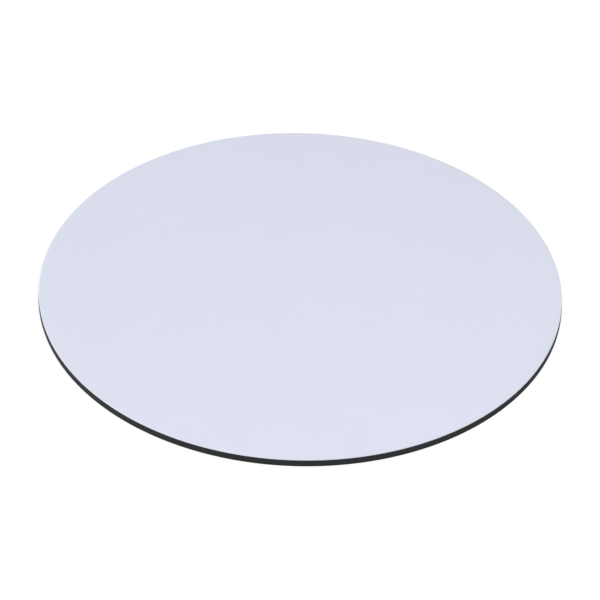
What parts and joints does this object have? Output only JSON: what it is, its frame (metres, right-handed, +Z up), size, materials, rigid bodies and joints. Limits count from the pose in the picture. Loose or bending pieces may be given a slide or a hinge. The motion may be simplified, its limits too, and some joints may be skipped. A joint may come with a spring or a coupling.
{
  "type": "mouse pad",
  "caption": "Flat round mouse pad: a smooth pale cloth top bonded to a dark foam rubber base that grips the desk.",
  "frame": {"origin": "centre of the underside, on the desk", "axes": "+Z up through the pad's thickness; X and Y lie in the desk and are alike, because the pad is round"},
  "size_m": [0.24, 0.24, 0.0035],
  "materials": {
    "cloth": "fine close-woven polyester cloth, matt, pale lavender white",
    "film": "thin clear hot-melt film, dark because the rubber shows through it",
    "foam_rubber": "matt charcoal foam rubber, fine open cells on the cut edge, moulded grip relief below"
  },
  "bodies": {
    "root": {"fabric_cover": "cloth", "adhesive_film": "film", "rubber_base": "foam_rubber"}
  },
  "joints": []
}
